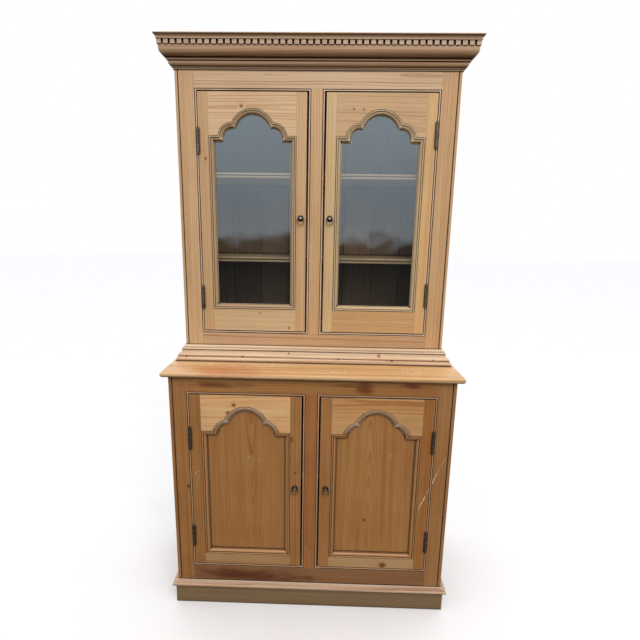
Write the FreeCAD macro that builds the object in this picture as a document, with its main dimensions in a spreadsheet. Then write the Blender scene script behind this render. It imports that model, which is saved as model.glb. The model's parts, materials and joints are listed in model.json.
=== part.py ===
import FreeCAD, Part
import Sketcher
import os
import re
import types

# Glazed two-part pantry cabinet. Millimetres, +Z up, front towards -Y, origin under the middle on the floor.
os.makedirs("parts", exist_ok=True)
doc = FreeCAD.newDocument("pantry_cabinet")
Vector = FreeCAD.Vector
Rotation = FreeCAD.Rotation

driving = {
    "upper_width": 1000, "upper_depth": 300, "lower_width": 1050, "total_depth": 476,
    "total_height": 2116, "worktop_top": 973.5, "worktop_thick": 22, "worktop_overhang": 21,
    "frame_thick": 22, "side_thick": 18, "bead_width": 7.5,
    "upper_open_low": 1090.3, "upper_open_high": 1952.2, "upper_open_out": 424.3, "upper_open_in": 27.6,
    "lower_open_low": 174.5, "lower_open_high": 886.9, "lower_open_out": 451.5, "lower_open_in": 29,
    "plinth_high": 76.5, "plinth_proud": 7, "plinth_board": 20,
    "waist_proud": 32, "waist_high": 60, "cornice_proud": 52, "cornice_low": 2018,
    "board_thick": 15, "shelf_thick": 19, "shelf_setback": 35, "back_thick": 12,
    "high_shelf": 1664, "low_shelf": 1356, "hidden_shelf": 520,
    "hinge_gap": 2, "meeting_gap": 6.7, "rail_gap": 3, "door_thick": 22,
    "upper_stile": 36.9, "lower_stile": 40.9, "bottom_rail_high": 85, "lower_bottom_rail": 43,
    "moulding_wide": 20, "glass_thick": 3, "panel_thick": 8,
    "hinge_long": 88, "knuckle_radius": 4, "pin_radius": 1.5, "pin_play": 0.05, "leaf_thick": 0.8,
    "leaf_deep": 18, "pull_height": 1520, "lower_pull_height": 517, "pull_inset": 24,
    "rose_radius": 10.5, "ring_radius": 12.2, "ring_wire": 1.5, "ring_standoff": 8.5,
    "dentil_pitch": 23, "dentil_wide": 15.5, "dentil_high": 15, "dentil_deep": 6,
}
derived = {
    "back": "total_depth / 2",
    "lower_front": "worktop_overhang - total_depth / 2",
    "upper_front": "total_depth / 2 - upper_depth",
    "worktop_low": "worktop_top - worktop_thick",
    "upper_half": "upper_width / 2",
    "lower_half": "lower_width / 2",
    "upper_door_wide": "upper_open_out - upper_open_in - hinge_gap - meeting_gap",
    "lower_door_wide": "lower_open_out - lower_open_in - hinge_gap - meeting_gap",
    "upper_door_mid": "(upper_open_out + upper_open_in - hinge_gap + meeting_gap) / 2",
    "lower_door_mid": "(lower_open_out + lower_open_in - hinge_gap + meeting_gap) / 2",
    "upper_door_low": "upper_open_low + rail_gap",
    "upper_door_high": "upper_open_high - rail_gap",
    "lower_door_low": "lower_open_low + rail_gap",
    "lower_door_high": "lower_open_high - rail_gap",
    "knuckle_stand": "knuckle_radius + 0.3",
}

sheet = doc.addObject("Spreadsheet::Sheet", "Sizes")
row = 0
for word, number in driving.items():
    row += 1
    sheet.set(f"A{row}", word)
    sheet.set(f"B{row}", str(number))
    sheet.setAlias(f"B{row}", word)
for word, formula in derived.items():
    row += 1
    sheet.set(f"A{row}", word)
    sheet.set(f"B{row}", "=" + formula)
    sheet.setAlias(f"B{row}", word)
doc.recompute()
size = types.SimpleNamespace(**{word: float(sheet.get(word)) for word in list(driving) + list(derived)})

nodes = []


def bind(thing, prop, amount):
    """Plain numbers are set, words are bound to the sheet."""
    if isinstance(amount, str):
        thing.setExpression(prop, re.sub(r"[a-z][a-z_]+", r"Sizes.\g<0>", amount))
    elif "." in prop:
        thing.setExpression(prop, str(amount))
    else:
        setattr(thing, prop, amount)


def place(thing, x=0, y=0, z=0, turn=None):
    if turn is not None:
        thing.Placement = FreeCAD.Placement(Vector(0, 0, 0), turn)
    for letter, amount in (("x", x), ("y", y), ("z", z)):
        bind(thing, "Placement.Base." + letter, amount)
    return thing


def node(thing, name):
    thing.Label = name
    nodes.append(thing)
    return thing


def box(name, corner, extent):
    thing = doc.addObject("Part::Box", name)
    for prop, amount in zip(("Length", "Width", "Height"), extent):
        bind(thing, prop, amount)
    return place(thing, *corner)


def cylinder(name, centre, radius, height, turn=None):
    thing = doc.addObject("Part::Cylinder", name)
    bind(thing, "Radius", radius)
    bind(thing, "Height", height)
    return place(thing, *centre, turn)


def group(name, things):
    thing = doc.addObject("Part::Compound", name)
    thing.Links = things
    return thing


def copyAt(name, source, x=0, y=0, z=0):
    return place(group(name, [source]), x, y, z)


def fuse(name, things):
    thing = doc.addObject("Part::MultiFuse", name)
    thing.Shapes = things
    return thing


def common(name, first, second):
    thing = doc.addObject("Part::Common", name)
    thing.Base = first
    thing.Tool = second
    return thing


def cut(name, first, second):
    thing = doc.addObject("Part::Cut", name)
    thing.Base = first
    thing.Tool = second
    return thing


def drawLoop(sketch, outline):
    """Closed loop of corners; a corner with four numbers is reached by an arc through its first pair."""
    first = len(sketch.Geometry)
    here = outline[-1][-2:]
    for step in outline:
        start = Vector(here[0], here[1], 0)
        end = Vector(step[-2], step[-1], 0)
        if len(step) == 4:
            via = Vector(step[0], step[1], 0)
            leftTurn = (via - start).cross(end - via).z > 0
            arc = Part.Arc(start, via, end) if leftTurn else Part.Arc(end, via, start)
            sketch.addGeometry(arc, False)
        else:
            sketch.addGeometry(Part.LineSegment(start, end), False)
        here = step[-2:]
    count = len(outline)
    for index in range(count):
        joined = first + (index + 1) % count
        sketch.addConstraint(sketchPair(sketch, first + index, joined))


def sketchPair(sketch, one, two):
    end = sketch.Geometry[one]
    start = sketch.Geometry[two]
    ends = (end.StartPoint, end.EndPoint)
    starts = (start.StartPoint, start.EndPoint)
    best = min((ends[i].distanceToPoint(starts[j]), i + 1, j + 1) for i in (0, 1) for j in (0, 1))
    return Sketcher.Constraint("Coincident", one, best[1], two, best[2])


def sketchOn(body, role, outline, name):
    sketch = body.newObject("Sketcher::SketchObject", name)
    plane = [item for item in body.Origin.OriginFeatures if item.Role == role][0]
    sketch.AttachmentSupport = [(plane, "")]
    sketch.MapMode = "FlatFace"
    drawLoop(sketch, outline)
    return sketch


def pad(name, role, outline, length, middle=True, flipped=False):
    body = doc.addObject("PartDesign::Body", name)
    sketch = sketchOn(body, role, outline, name + "_outline")
    feature = body.newObject("PartDesign::Pad", name + "_pad")
    feature.Profile = sketch
    feature.Midplane = middle
    feature.Reversed = flipped
    bind(feature, "Length", length)
    sketch.Visibility = False
    return body


def turned(name, outline):
    """Full turn of an outline of radius and height."""
    body = doc.addObject("PartDesign::Body", name)
    sketch = sketchOn(body, "XZ_Plane", outline, name + "_outline")
    feature = body.newObject("PartDesign::Revolution", name + "_turn")
    feature.Profile = sketch
    feature.ReferenceAxis = (sketch, ["V_Axis"])
    feature.Angle = 360
    sketch.Visibility = False
    return body


faceOn = Rotation(Vector(1, 0, 0), 90)


def aroundFace(angle):
    """Turns a run whose inner side is up so that its inner side points round the opening."""
    return Rotation(Vector(0, 1, 0), angle) * faceOn


def mitred(name, run, role, polygon, thick):
    """The part of a run that lies inside a polygon seen square on."""
    return common(name, run, pad(name + "_bounds", role, polygon, thick))


# profiles: outwards or inwards distance first, height or forward distance second
beadStrip = [(0, -22), (0, -5), (1.8, -5), (1.8, -2.6), (4.6, 0.4, 7.5, -2.6), (7.5, -22)]
doorMoulding = [
    (0, -12), (0, -2.5), (1.4, -2.5), (1.4, 0), (3.9, 2, 6.4, 0), (6.4, -2.5), (7.8, -2.5), (7.8, -0.8), (9.6, -0.8),
    (15, -3.6, 17, -9), (20, -9), (20, -12),
]
cornice = [
    (0, 0), (3, 0), (3, 4.5), (5.5, 4.5), (5.5, 9), (8, 9), (13.2, 13.4, 15, 20), (15, 23), (12.5, 23), (12.5, 25),
    (18, 25), (19, 28.5, 18, 32), (18, 34), (20, 34), (33.5, 40.5, 39, 53), (39, 66), (36, 66), (36, 81), (44, 81),
    (44, 85.5), (46.5, 92, 52, 95), (52, 98), (0, 98),
]
waist = [
    (0, 0), (32, 0), (32, 8), (30, 15.5, 27.5, 17.5), (26, 17.5), (26, 19.5), (24.5, 27, 21.5, 30), (21, 30),
    (16.5, 32.5, 14, 40), (12, 40), (12, 42), (14.5, 45.5, 12, 49), (9.5, 49), (9.5, 51), (8, 51), (5.5, 57, 2.5, 60),
    (0, 60),
]
plinthTrim = [
    (0, 0), (12, 0), (12, 1.5), (18.5, 8.5, 12, 15.5), (12, 17.5), (9, 17.5), (5, 20, 3, 24), (0, 24),
]


# upper and lower case frames


def stileOutline(inner, half, quirk):
    """Stile seen from above, outer corner worked to a bead with a quirk on both faces."""
    deep = 4.5
    radius = (half - quirk - 1.8) / 2
    across = (radius ** 2 - (radius - deep) ** 2) ** 0.5
    middle = half - radius
    slant = radius * 0.7071
    return [
        (inner, size.frame_thick), (inner, 0), (quirk, 0), (quirk, deep), (middle - across, deep),
        (middle + slant, radius - slant, half - deep, radius + across), (half - deep, radius + across + 1.8),
        (half, radius + across + 1.8), (half, size.frame_thick),
    ]


def flipped(outline):
    return [tuple(-v if i % 2 == 0 else v for i, v in enumerate(step)) for step in outline]


def trimRuns(name, profile, reach, half, deep, front, low):
    """Front run and two returns of a moulding, mitred at the front corners."""
    e = 1
    frontRun = pad(name + "_front_run", "YZ_Plane", profile, 2 * (half + reach) + 4)
    frontEnds = [(-half + e, -e), (half - e, -e), (half + reach + e, reach + e), (-half - reach - e, reach + e)]
    frontPiece = mitred(name + "_front", frontRun, "XY_Plane", frontEnds, 400)
    place(frontPiece, 0, front, low, Rotation(Vector(0, 0, 1), 180))
    pieces = [frontPiece]
    for side, word in ((-1, "left"), (1, "right")):
        run = pad(name + "_" + word + "_run", "YZ_Plane", profile, 2 * (deep + reach) + 4)
        ends = [(e, -e), (deep, -e), (deep, reach + e), (-reach - e, reach + e)]
        if side > 0:
            ends = flipped(ends)
        piece = mitred(name + "_" + word, run, "XY_Plane", ends, 400)
        place(piece, side * half, front, low, Rotation(Vector(0, 0, 1), -90 * side))
        pieces.append(piece)
    return group(name, pieces)


def openingBeads(name, middle, wide, low, high, front):
    """Four mitred bead strips round one door opening."""
    bead = size.bead_width
    strips = []
    for word, length in (("across", wide + 2 * bead), ("upright", high - low + 2 * bead)):
        run = pad(name + "_" + word + "_run", "YZ_Plane", beadStrip, length + 4)
        half = length / 2
        ends = [(-half - 1, -1), (half + 1, -1), (half - bead - 1, bead + 1), (-half + bead + 1, bead + 1)]
        strips.append(mitred(name + "_" + word, run, "XY_Plane", ends, 80))
    centre = (low + high) / 2
    made = []
    for word, source, angle, x, z in (
        ("low", strips[0], 0, middle, low - bead), ("high", strips[0], 180, middle, high + bead),
        ("left", strips[1], 90, middle - wide / 2 - bead, centre),
        ("right", strips[1], -90, middle + wide / 2 + bead, centre),
    ):
        made.append(place(group(name + "_" + word, [source]), x, front, z, aroundFace(angle)))
    return made


def backBoards(name, wide, low, high):
    """Eight upright boards with chamfered meeting edges."""
    pitch = wide / 8
    deep = size.back_thick
    outline = [(0.3, deep), (0.3, 1.8), (2.1, 0), (pitch - 2.1, 0), (pitch - 0.3, 1.8), (pitch - 0.3, deep)]
    boards = []
    for index in range(8):
        board = pad(f"{name}_{index + 1}", "XY_Plane", outline, high + " - " + low, middle=False)
        boards.append(place(board, index * pitch - wide / 2, "back - back_thick", low))
    return group(name, boards)


def shelf(name, half, front, deep, thick):
    """Board with two reeds worked along its front edge."""
    step = thick / 2
    outline = [
        (deep, 0), (2, 0), (-0.6, step / 2, 2, step - 0.8), (3.2, step), (2, step + 0.8),
        (-0.6, step * 1.5, 2, thick), (deep, thick),
    ]
    return pad(name, "YZ_Plane", outline, half + " * 2")


cases = {
    "upper": {
        "front": "upper_front", "half": "upper_half", "low": "worktop_top", "high": "total_height - board_thick",
        "openLow": "upper_open_low", "openHigh": "upper_open_high", "openOut": "upper_open_out",
        "openIn": "upper_open_in", "quirk": 485.7,
    },
    "lower": {
        "front": "lower_front", "half": "lower_half", "low": "plinth_high", "high": "worktop_low",
        "openLow": "lower_open_low", "openHigh": "lower_open_high", "openOut": "lower_open_out",
        "openIn": "lower_open_in", "quirk": 507.5,
    },
}

for level, c in cases.items():
    number = {key: getattr(size, c[key]) for key in ("front", "half", "openLow", "openHigh", "openOut", "openIn")}
    span = f"{c['high']} - {c['low']}"
    for word, x in (("left", f"-{c['half']}"), ("right", f"{c['half']} - side_thick")):
        node(box(f"{level}_side_{word}", (x, f"{c['front']} + frame_thick", c["low"]),
                 ("side_thick", f"back - {c['front']} - frame_thick", span)), f"{level}_side_{word}")
    stiles = []
    outline = stileOutline(number["openOut"] + size.bead_width, number["half"], c["quirk"])
    for word, shape in (("left", flipped(outline)), ("right", outline)):
        stile = pad(f"{level}_stile_{word}", "XY_Plane", shape, span, middle=False)
        stiles.append(place(stile, 0, c["front"], c["low"]))
    node(group(level + "_stiles", stiles), level + "_stiles")
    railSize = (f"2 * ({c['openOut']} + bead_width)", "frame_thick")
    rails = [
        box(level + "_rail_top", (f"-{c['openOut']} - bead_width", c["front"], f"{c['openHigh']} + bead_width"),
            railSize + (f"{c['high']} - {c['openHigh']} - bead_width",)),
        box(level + "_rail_bottom", (f"-{c['openOut']} - bead_width", c["front"], c["low"]),
            railSize + (f"{c['openLow']} - bead_width - ({c['low']})",)),
    ]
    node(group(level + "_rails", rails), level + "_rails")
    node(box(level + "_muntin", (f"bead_width - {c['openIn']}", c["front"], f"{c['openLow']} - bead_width"),
             (f"2 * ({c['openIn']} - bead_width)", "frame_thick",
              f"{c['openHigh']} - {c['openLow']} + 2 * bead_width")), level + "_muntin")
    strips = []
    wide = number["openOut"] - number["openIn"]
    for side, word in ((-1, "left"), (1, "right")):
        middle = side * (number["openOut"] + number["openIn"]) / 2
        strips += openingBeads(f"{level}_bead_{word}", middle, wide, number["openLow"], number["openHigh"],
                               number["front"])
    node(group(level + "_opening_beads", strips), level + "_opening_beads")
    node(backBoards(level + "_back_boards", 2 * (number["half"] - size.side_thick), c["low"], c["high"]),
         level + "_back_boards")

node(box("upper_top_board", ("-upper_half", "upper_front", "total_height - board_thick"),
         ("upper_width", "upper_depth", "board_thick")), "upper_top_board")
node(box("upper_bottom_board", ("side_thick - upper_half", "upper_front + frame_thick", "upper_open_low - 20"),
         ("upper_width - 2 * side_thick", "upper_depth - frame_thick - back_thick", "board_thick")),
     "upper_bottom_board")
node(box("lower_bottom_board", ("side_thick - lower_half", "lower_front + frame_thick", "lower_open_low - 27"),
         ("lower_width - 2 * side_thick", "back - lower_front - frame_thick - back_thick", "board_thick")),
     "lower_bottom_board")

# shelves on battens
upperShelves = []
shelfDeep = size.back - size.back_thick - size.upper_front - size.shelf_setback
for word, height in (("high", "high_shelf"), ("low", "low_shelf")):
    board = shelf(f"upper_shelf_{word}", "(upper_half - side_thick - 0.5)", 0, shelfDeep, size.shelf_thick)
    upperShelves.append(place(board, 0, "upper_front + shelf_setback", height))
node(group("upper_shelves", upperShelves), "upper_shelves")
lowerDeep = size.back - size.back_thick - size.lower_front - 60
lowerShelf = shelf("lower_shelf", "(lower_half - side_thick - 0.5)", 0, lowerDeep, size.shelf_thick)
node(place(lowerShelf, 0, "lower_front + 60", "hidden_shelf"), "lower_shelf")
battens = []
for word, half, front, height in (
    ("high", "upper_half", "upper_front + shelf_setback + 12", "high_shelf"),
    ("low", "upper_half", "upper_front + shelf_setback + 12", "low_shelf"),
    ("hidden", "lower_half", "lower_front + 72", "hidden_shelf"),
):
    for side, x in (("left", f"side_thick - {half}"), ("right", f"{half} - side_thick - 14")):
        battens.append(box(f"batten_{word}_{side}", (x, front, height + " - 22"),
                           (14, f"back - back_thick - 2 - ({front})", 22)))
node(group("shelf_battens", battens), "shelf_battens")

# cornice, dentils, waist moulding, worktop and plinth
node(trimRuns("cornice", cornice, size.cornice_proud, size.upper_half, size.upper_depth, size.upper_front,
              size.cornice_low), "cornice")
dentils = []
dentilLow = size.cornice_low + 66
dentilCorner = size.upper_half + 36 + size.dentil_deep
count = round((dentilCorner - size.dentil_wide / 2) / size.dentil_pitch)
step = (dentilCorner - size.dentil_wide / 2) / count
for index in range(-count, count + 1):
    dentils.append(box(f"dentil_front_{index + count}",
                       (index * step - size.dentil_wide / 2, size.upper_front - 36 - size.dentil_deep, dentilLow),
                       ("dentil_wide", "dentil_deep", "dentil_high")))
for side, word in ((-1, "left"), (1, "right")):
    x = side * (size.upper_half + 36)
    if side < 0:
        x -= size.dentil_deep
    start = size.upper_front - 36
    dentils.append(box(f"dentil_{word}_corner", (x, start, dentilLow),
                       ("dentil_deep", "dentil_wide - dentil_deep", "dentil_high")))
    index = 1
    while start - size.dentil_deep + index * step + size.dentil_wide < size.back:
        dentils.append(box(f"dentil_{word}_{index}", (x, start - size.dentil_deep + index * step, dentilLow),
                           ("dentil_deep", "dentil_wide", "dentil_high")))
        index += 1
node(group("dentils", dentils), "dentils")
node(trimRuns("waist_moulding", waist, size.waist_proud, size.upper_half, size.upper_depth, size.upper_front,
              size.worktop_top), "waist_moulding")
node(trimRuns("plinth_moulding", plinthTrim, 18.5, size.lower_half, size.back - size.lower_front, size.lower_front,
              size.plinth_high), "plinth_moulding")

plinth = [
    box("plinth_front", ("-lower_half - plinth_proud", "lower_front - plinth_proud", 0),
        ("lower_width + 2 * plinth_proud", "plinth_board", "plinth_high")),
    box("plinth_back", ("plinth_board - lower_half - plinth_proud", "back - plinth_board", 0),
        ("lower_width + 2 * plinth_proud - 2 * plinth_board", "plinth_board", "plinth_high")),
]
for word, x in (("left", "-lower_half - plinth_proud"), ("right", "lower_half + plinth_proud - plinth_board")):
    plinth.append(box("plinth_" + word, (x, "lower_front - plinth_proud + plinth_board", 0),
                      ("plinth_board", "back - lower_front + plinth_proud - plinth_board", "plinth_high")))
node(group("plinth_boards", plinth), "plinth_boards")

wideHalf = size.lower_half + size.worktop_overhang
front = -size.total_depth / 2
worktop = pad("worktop", "XY_Plane", [(-wideHalf, front), (wideHalf, front), (wideHalf, size.back),
                                      (-wideHalf, size.back)], "worktop_thick", middle=False)
doc.recompute()
slab = worktop.Tip


def shownEdges(height):
    """Front and side edges of the slab at one height."""
    names = []
    for index, edge in enumerate(slab.Shape.Edges):
        middle = edge.CenterOfMass
        if abs(middle.z - height) < 0.01 and middle.y < size.back - 0.01:
            names.append(f"Edge{index + 1}")
    return names


topEdges = shownEdges(size.worktop_thick)
lowEdges = shownEdges(0)
nose = worktop.newObject("PartDesign::Fillet", "worktop_nose")
nose.Base = (slab, topEdges)
nose.Radius = 9
doc.recompute()
slab = nose
under = worktop.newObject("PartDesign::Fillet", "worktop_under")
under.Base = (slab, shownEdges(0))
under.Radius = 11
node(place(worktop, 0, 0, "worktop_low"), "worktop")

# doors


def crossing(first, second):
    """Upper crossing point of two circles given as x, z, radius."""
    dx = second[0] - first[0]
    dz = second[1] - first[1]
    apart = (dx * dx + dz * dz) ** 0.5
    along = (first[2] ** 2 - second[2] ** 2 + apart ** 2) / (2 * apart)
    off = (first[2] ** 2 - along ** 2) ** 0.5
    x = first[0] + along * dx / apart
    z = first[1] + along * dz / apart
    return max(((x - off * dz / apart, z + off * dx / apart), (x + off * dz / apart, z - off * dx / apart)),
               key=lambda point: point[1])


def stretched(one, two, extra):
    """Both ends of a line moved apart by extra."""
    dx = two[0] - one[0]
    dz = two[1] - one[1]
    length = (dx * dx + dz * dz) ** 0.5
    ux = dx / length * extra
    uz = dz / length * extra
    return (one[0] - ux, one[1] - uz), (two[0] + ux, two[1] + uz)


def mirrored(points):
    return [(-x, z) for x, z in points]


def doorMouldings(name, half, low, shoulder, crown, lobe):
    """Eight mitred moulding pieces round the arched opening of a door, x measured from its middle."""
    wide = size.moulding_wide
    crownIn = (crown[0], crown[1], crown[2] - wide)
    lobeIn = (lobe[0], lobe[1], lobe[2] - wide)
    cusp = crossing(crown, lobe)
    cuspIn = crossing(crownIn, lobeIn)
    foot = (lobe[0] + (lobe[2] ** 2 - (shoulder - lobe[1]) ** 2) ** 0.5, shoulder)
    footIn = (lobe[0] + (lobeIn[2] ** 2 - (shoulder - wide - lobe[1]) ** 2) ** 0.5, shoulder - wide)
    footLong = stretched(foot, footIn, 2)
    cuspLong = stretched(cusp, cuspIn, 2)
    e = 1
    innerLow = (half - wide - e, low + wide + e)
    innerHigh = (half - wide - e, shoulder - wide - e)
    outerLow = (half + e, low - e)
    outerHigh = (half + e, shoulder + e)
    bounds = {
        "bottom": [mirrored([outerLow])[0], outerLow, innerLow, mirrored([innerLow])[0]],
        "upright": [outerLow, outerHigh, innerHigh, innerLow],
        "flat": [outerHigh, footLong[0], footLong[1], innerHigh],
        "lobe": [footLong[1], cuspLong[1], cuspLong[0], (cusp[0], cusp[1] + 40), (foot[0] + 40, cusp[1] + 40),
                 (foot[0] + 40, shoulder), footLong[0]],
        "crown": [cuspLong[1], cuspLong[0], (cusp[0] + 30, cusp[1] + 60), (-cusp[0] - 30, cusp[1] + 60),
                  mirrored([cuspLong[0]])[0], mirrored([cuspLong[1]])[0]],
    }
    pieces = []

    def straight(word, polygon, x, z, angle, length):
        run = place(pad(f"{name}_{word}_run", "YZ_Plane", doorMoulding, length), x, 0, z, aroundFace(angle))
        pieces.append(mitred(f"{name}_{word}", run, "XZ_Plane", polygon, 80))

    def curved(word, polygon, circle):
        outline = [tuple(circle[2] - v if i % 2 == 0 else v for i, v in enumerate(step)) for step in doorMoulding]
        ring = place(turned(f"{name}_{word}_ring", outline), circle[0], 0, circle[1], faceOn)
        pieces.append(mitred(f"{name}_{word}", ring, "XZ_Plane", polygon, 80))

    straight("bottom", bounds["bottom"], 0, low, 0, 2 * half + 4)
    tall = shoulder - low
    for side, word, angle in ((1, "right", -90), (-1, "left", 90)):
        look = (lambda points: points) if side > 0 else mirrored
        straight("upright_" + word, look(bounds["upright"]), side * half, low + tall / 2, angle, tall + 4)
        straight("flat_" + word, look(bounds["flat"]), 0, shoulder, 180, 2 * half + 4)
        curved("lobe_" + word, look(bounds["lobe"]), (side * lobe[0], lobe[1], lobe[2]))
    curved("crown", bounds["crown"], crown)
    arch = {"cusp": cusp, "foot": foot}
    return group(name, pieces), arch


def archedRail(name, half, shoulder, high, crown, lobe, arch):
    """Top rail with the arch cut through and a square rebate behind for the pane."""
    lean = 0.7071
    cusp = arch["cusp"]
    foot = arch["foot"]
    lobeMiddle = ((foot[0] + cusp[0]) / 2 - lobe[0], (foot[1] + cusp[1]) / 2 - lobe[1])
    reach = lobe[2] / (lobeMiddle[0] ** 2 + lobeMiddle[1] ** 2) ** 0.5
    via = (lobe[0] + lobeMiddle[0] * reach, lobe[1] + lobeMiddle[1] * reach)
    outline = [
        (-half, high), (-half, shoulder), (-foot[0], shoulder), (-via[0], via[1], -cusp[0], cusp[1]),
        (0, crown[1] + crown[2], cusp[0], cusp[1]), (via[0], via[1], foot[0], shoulder), (half, shoulder),
        (half, high),
    ]
    rail = pad(name, "XZ_Plane", outline, "door_thick", middle=False, flipped=True)
    rebate = sketchOn(rail, "XZ_Plane", [(-half, shoulder - 1), (half, shoulder - 1), (half, crown[1] + crown[2] + 8),
                                         (-half, crown[1] + crown[2] + 8)], name + "_rebate")
    rebate.AttachmentOffset = FreeCAD.Placement(Vector(0, 0, -12), Rotation())
    pocket = rail.newObject("PartDesign::Pocket", name + "_pocket")
    pocket.Profile = rebate
    pocket.Length = size.door_thick
    pocket.Midplane = False
    pocket.Reversed = False
    doc.recompute()
    assert pocket.Shape.Volume < rail.Group[1].Shape.Volume - 1000, name
    return rail


arches = {
    "upper": {"half": size.upper_door_wide / 2 - size.upper_stile, "low": 1177.3, "shoulder": 1804.0,
              "crown": (0.0, 1812.3, 83.0), "lobe": (73.5, 1797.6, 51.5)},
    "lower": {"half": size.lower_door_wide / 2 - size.lower_stile, "low": 221.0, "shoulder": 741.0,
              "crown": (0.0, 753.1, 86.7), "lobe": (56.0, 720.0, 71.8)},
}
hinges = {
    "upper_left": (1785, 1221), "upper_right": (1811, 1240), "lower_left": (711, 300.5), "lower_right": (716, 300.5),
}


def hingeLeaves(name, side):
    """Frame leaf and door leaf round a vertical pin at the origin; the door lies on the given side."""
    segment = size.hinge_long / 5
    bottom = -size.hinge_long / 2
    gap = 0.2
    leaves = {"frame": [], "door": []}
    for index in range(5):
        owner = "frame" if index % 2 == 0 else "door"
        low = bottom + index * segment + gap
        word = f"{name}_knuckle_{index + 1}"
        barrel = cylinder(word, (0, 0, low), "knuckle_radius", segment - 2 * gap)
        if owner == "door":
            hole = cylinder(word + "_hole", (0, 0, low - 1), "pin_radius + pin_play", segment + 2)
            barrel = cut(word + "_tube", barrel, hole)
        toward = -side if owner == "frame" else side
        x = 0.2 if toward > 0 else -0.2 - size.leaf_thick
        web = box(word + "_web", (x, 2.2, low), ("leaf_thick", 3, segment - 2 * gap))
        leaves[owner] += [barrel, web]
    for owner in leaves:
        toward = -side if owner == "frame" else side
        x = 0.2 if toward > 0 else -0.2 - size.leaf_thick
        leaves[owner].append(box(f"{name}_{owner}_plate", (x, "knuckle_stand + 0.2", bottom),
                                 ("leaf_thick", "leaf_deep", "hinge_long")))
    leaves["frame"].append(cylinder(name + "_pin", (0, 0, bottom + 0.5), "pin_radius", size.hinge_long - 1))
    return {owner: fuse(f"{name}_{owner}_leaf", leaves[owner]) for owner in leaves}


leafShapes = {-1: hingeLeaves("hinge_right_hung", -1), 1: hingeLeaves("hinge_left_hung", 1)}
frameLeaves = []

# ring pull: a domed rose with a pierced boss, and a ring sprung into the boss
rose = place(turned("rose_blank", [
    (0, 0), (size.rose_radius, 0), (size.rose_radius, 1.2), (9.4, 1.9), (8.7, 1.7), (7.4, 3.8, 5.2, 4.6), (4.2, 5.4),
    (4.2, 10.6), (3.8, 11.8, 2.6, 12.2), (0, 12.6),
]), 0, 0, 0, faceOn)
crossHole = cylinder("rose_cross_hole", (-10, "-ring_standoff", 0), "pin_radius + pin_play", 20,
                     Rotation(Vector(0, 1, 0), 90))
pierced = cut("rose_pierced", rose, crossHole)
drop = size.ring_radius * 0.866
reach = size.ring_radius * 0.5
bend = doc.addObject("Part::Torus", "ring_bend")
bind(bend, "Radius1", "ring_radius")
bind(bend, "Radius2", "ring_wire")
bend.Angle3 = 300
place(bend, 0, 0, -drop, Rotation(Vector(1, 0, 0), 90) * Rotation(Vector(0, 0, 1), 120))
ringParts = [bend]
for side, word in ((-1, "left"), (1, "right")):
    elbow = doc.addObject("Part::Sphere", "ring_elbow_" + word)
    bind(elbow, "Radius", "ring_wire + 0.15")
    ringParts.append(place(elbow, side * reach, 0, 0))
    start = 2.2 if side > 0 else -reach
    ringParts.append(cylinder("ring_pin_" + word, (start, 0, 0), "pin_radius", reach - 2.2,
                              Rotation(Vector(0, 1, 0), 90)))
ringShape = fuse("ring_shape", ringParts)

for level in ("upper", "lower"):
    a = arches[level]
    front = level + "_front"
    door = level + "_door"
    moulding, arch = doorMouldings(door + "_moulding_set", a["half"], a["low"], a["shoulder"], a["crown"], a["lobe"])
    high = getattr(size, door + "_high")
    rail = archedRail(door + "_arched_rail", a["half"], a["shoulder"], high, a["crown"], a["lobe"], arch)
    paneTop = a["crown"][1] + a["crown"][2] + 7
    for side, hand in ((-1, "left"), (1, "right")):
        name = f"{level}_door_{hand}"
        mid = f"{side} * {door}_mid"
        stile = level + "_stile"
        tall = f"{door}_high - {door}_low"
        pair = [
            box(name + "_stile_west", (f"{mid} - {door}_wide / 2", front, door + "_low"), (stile, "door_thick", tall)),
            box(name + "_stile_east", (f"{mid} + {door}_wide / 2 - {stile}", front, door + "_low"),
                (stile, "door_thick", tall)),
        ]
        node(group(name + "_stiles", pair), name + "_stiles")
        node(copyAt(name + "_top_rail", rail, mid, front, 0), name + "_top_rail")
        node(box(name + "_bottom_rail", (f"{mid} - {a['half']}", front, door + "_low"),
                 (2 * a["half"], "door_thick", a["low"] - getattr(size, door + "_low"))), name + "_bottom_rail")
        node(copyAt(name + "_moulding", moulding, mid, front, 0), name + "_moulding")
        sheetWord, thick = ("glass", "glass_thick") if level == "upper" else ("panel", "panel_thick")
        node(box(f"{name}_{sheetWord}", (f"{mid} - {a['half'] - 0.3}", front + " + 12", a["low"] + 0.3),
                 (2 * a["half"] - 0.6, thick, paneTop - a["low"] - 0.6)), f"{name}_{sheetWord}")
        leaves = []
        for index, z in enumerate(hinges[f"{level}_{hand}"]):
            where = (f"{side} * ({level}_open_out - hinge_gap / 2)", front + " - knuckle_stand", z)
            frameLeaves.append(copyAt(f"{name}_frame_leaf_{index}", leafShapes[-side]["frame"], *where))
            leaves.append(copyAt(f"{name}_door_leaf_{index}", leafShapes[-side]["door"], *where))
        node(group(name + "_hinge_leaves", leaves), name + "_hinge_leaves")
        pullX = side * (53.5 if level == "upper" else 58.5)
        pullZ = "pull_height" if level == "upper" else "lower_pull_height"
        node(copyAt(name + "_pull", pierced, pullX, front, pullZ), name + "_pull")
        node(copyAt(name + "_ring", ringShape, pullX, front + " - ring_standoff", pullZ), name + "_ring")
node(group("frame_hinge_leaves", frameLeaves), "frame_hinge_leaves")

stops = []
for level in ("upper", "lower"):
    for side, hand in ((-1, "left"), (1, "right")):
        stops.append(box(f"stop_{level}_{hand}", (f"{side} * {level}_door_mid - 30", f"{level}_front + door_thick + 0.3",
                                                 f"{level}_open_high - 10"), (60, 14, 34)))
node(group("door_stops", stops), "door_stops")

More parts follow.
